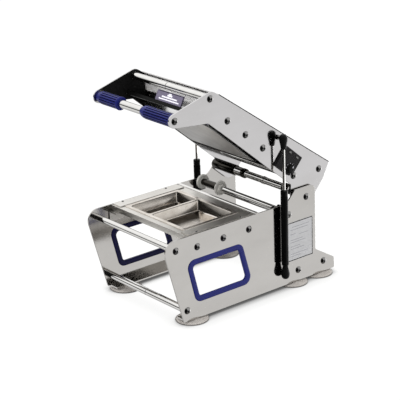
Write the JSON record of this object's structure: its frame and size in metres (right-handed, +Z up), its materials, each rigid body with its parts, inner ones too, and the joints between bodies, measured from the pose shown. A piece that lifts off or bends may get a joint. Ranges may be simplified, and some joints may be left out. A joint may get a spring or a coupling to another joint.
{
  "type": "tray sealing machine",
  "caption": "Manual tray sealing machine: steel base on suction feet, hinged heated head with a ribbed handle, gas springs and a two-well mould.",
  "frame": {"origin": "on the surface the feet stand on, under the middle of the machine's box", "axes": "+X to the operator's right, -Y the operator's side with the handle, +Z up; the head stands open"},
  "size_m": [0.318, 0.4845, 0.4944],
  "materials": {
    "plate_steel": "bright polished stainless sheet",
    "bright_steel": "polished round bar",
    "screw_steel": "bright zinc plate",
    "cast_aluminium": "satin, milled",
    "blue_plastic": "semi-gloss dark blue",
    "black_paint": "satin black",
    "black_plastic": "satin black",
    "foot_rubber": "cloudy grey, soft",
    "core_plastic": "cloudy natural plastic",
    "insulation": "matt pressed board",
    "element_metal": "heat-darkened sheath",
    "knife_steel": "ground edge",
    "tube_paint": "gloss black",
    "badge_metal": "anodised grey-purple",
    "label_metal": "satin",
    "lamp_lens": "clear lens",
    "bush_plastic": "natural bearing plastic"
  },
  "bodies": {
    "base": {"left_side_plate": "plate_steel", "right_side_plate": "plate_steel", "left_window_trim": "blue_plastic", "right_window_trim": "blue_plastic", "front_top_rod": "bright_steel", "front_bottom_rod": "bright_steel", "rear_tie_rods": "bright_steel", "base_screws": "screw_steel", "feet": "foot_rubber", "foot_studs": "screw_steel", "left_rail": "plate_steel", "right_rail": "plate_steel", "mould_frame": "plate_steel", "left_side_strip": "plate_steel", "right_side_strip": "plate_steel", "strip_screws": "screw_steel", "film_guide_rod": "bright_steel", "shaft_brackets": "black_plastic", "hinge_pins": "screw_steel", "data_plate": "label_metal", "lower_ball_studs": "screw_steel"},
    "head": {"left_arm_plate": "plate_steel", "right_arm_plate": "plate_steel", "arm_liners": "black_plastic", "hinge_bushes": "bush_plastic", "arm_screws": "screw_steel", "top_cover": "plate_steel", "cover_screws": "screw_steel", "rear_cover": "plate_steel", "cable_gland": "black_plastic", "top_bar": "bright_steel", "front_crossbar": "black_paint", "badge_plate": "badge_metal", "handle_tube": "bright_steel", "left_grip": "blue_plastic", "right_grip": "blue_plastic", "head_tie_rods": "bright_steel", "hinge_side_rod": "bright_steel", "rod_sleeve": "black_plastic", "rod_collars": "bright_steel", "heater_carrier": "plate_steel", "head_panels": "plate_steel", "film_knife": "knife_steel", "control_panel": "black_plastic", "panel_lamps": "lamp_lens"},
    "heater": {"heater_plate": "cast_aluminium", "insulation_board": "insulation", "heating_element": "element_metal", "guide_bolts": "screw_steel", "press_springs": "screw_steel"},
    "knob": {"control_knob": "black_plastic"},
    "die": {"die_insert": "cast_aluminium"},
    "film_roller": {"film_shaft": "bright_steel", "film_shaft_sleeve": "black_plastic", "left_core_disc": "core_plastic"},
    "core_stop": {"right_core_disc": "core_plastic"},
    "left_tube": {"left_spring_tube": "tube_paint"},
    "left_rod": {"left_spring_rod": "bright_steel"},
    "right_tube": {"right_spring_tube": "tube_paint"},
    "right_rod": {"right_spring_rod": "bright_steel"}
  },
  "joints": [
    {"name": "head_hinge", "type": "hinge", "parent": "base", "child": "head", "pos_m": [0, 0.1575, 0.2015], "axis": [-1, 0, 0], "range_deg": [-40.5, 0], "stiffness_Nm_per_rad": 26, "springref_deg": 91.67},
    {"name": "heater_press", "type": "slide", "parent": "head", "child": "heater", "axis": [0, 0.6494, 0.7604], "range_m": [0, 0.006], "stiffness_N_per_m": 4000, "springref_m": -0.006},
    {"name": "knob_turn", "type": "hinge", "parent": "head", "child": "knob", "pos_m": [0.137, 0.1104, 0.27723], "axis": [1, 0, 0], "range_deg": [-270, 0]},
    {"name": "die_lift", "type": "slide", "parent": "base", "child": "die", "axis": [0, 0, 1], "range_m": [0, 0.05]},
    {"name": "film_roller_spin", "type": "hinge", "parent": "base", "child": "film_roller", "pos_m": [0, 0.0735, 0.193], "axis": [1, 0, 0], "continuous": true},
    {"name": "core_stop_slide", "type": "slide", "parent": "film_roller", "child": "core_stop", "axis": [1, 0, 0], "range_m": [0, 0.15]},
    {"name": "left_spring_tilt", "type": "hinge", "parent": "base", "child": "left_tube", "pos_m": [-0.1495, 0.08119, 0.041], "axis": [-1, 0, 0], "range_deg": [-20, 0]},
    {"name": "left_spring_stroke", "type": "slide", "parent": "left_tube", "child": "left_rod", "axis": [0, 0, 1], "range_m": [-0.0725, 0]},
    {"name": "right_spring_tilt", "type": "hinge", "parent": "base", "child": "right_tube", "pos_m": [0.1495, 0.08119, 0.041], "axis": [-1, 0, 0], "range_deg": [-20, 0]},
    {"name": "right_spring_stroke", "type": "slide", "parent": "right_tube", "child": "right_rod", "axis": [0, 0, 1], "range_m": [-0.0725, 0]}
  ],
  "couplings": [
    {"joint": "left_spring_tilt", "follows": "head_hinge", "ratio": 0.48674},
    {"joint": "left_spring_stroke", "follows": "head_hinge", "m_per_rad": 0.10221},
    {"joint": "right_spring_tilt", "follows": "head_hinge", "ratio": 0.48674},
    {"joint": "right_spring_stroke", "follows": "head_hinge", "m_per_rad": 0.10221}
  ]
}
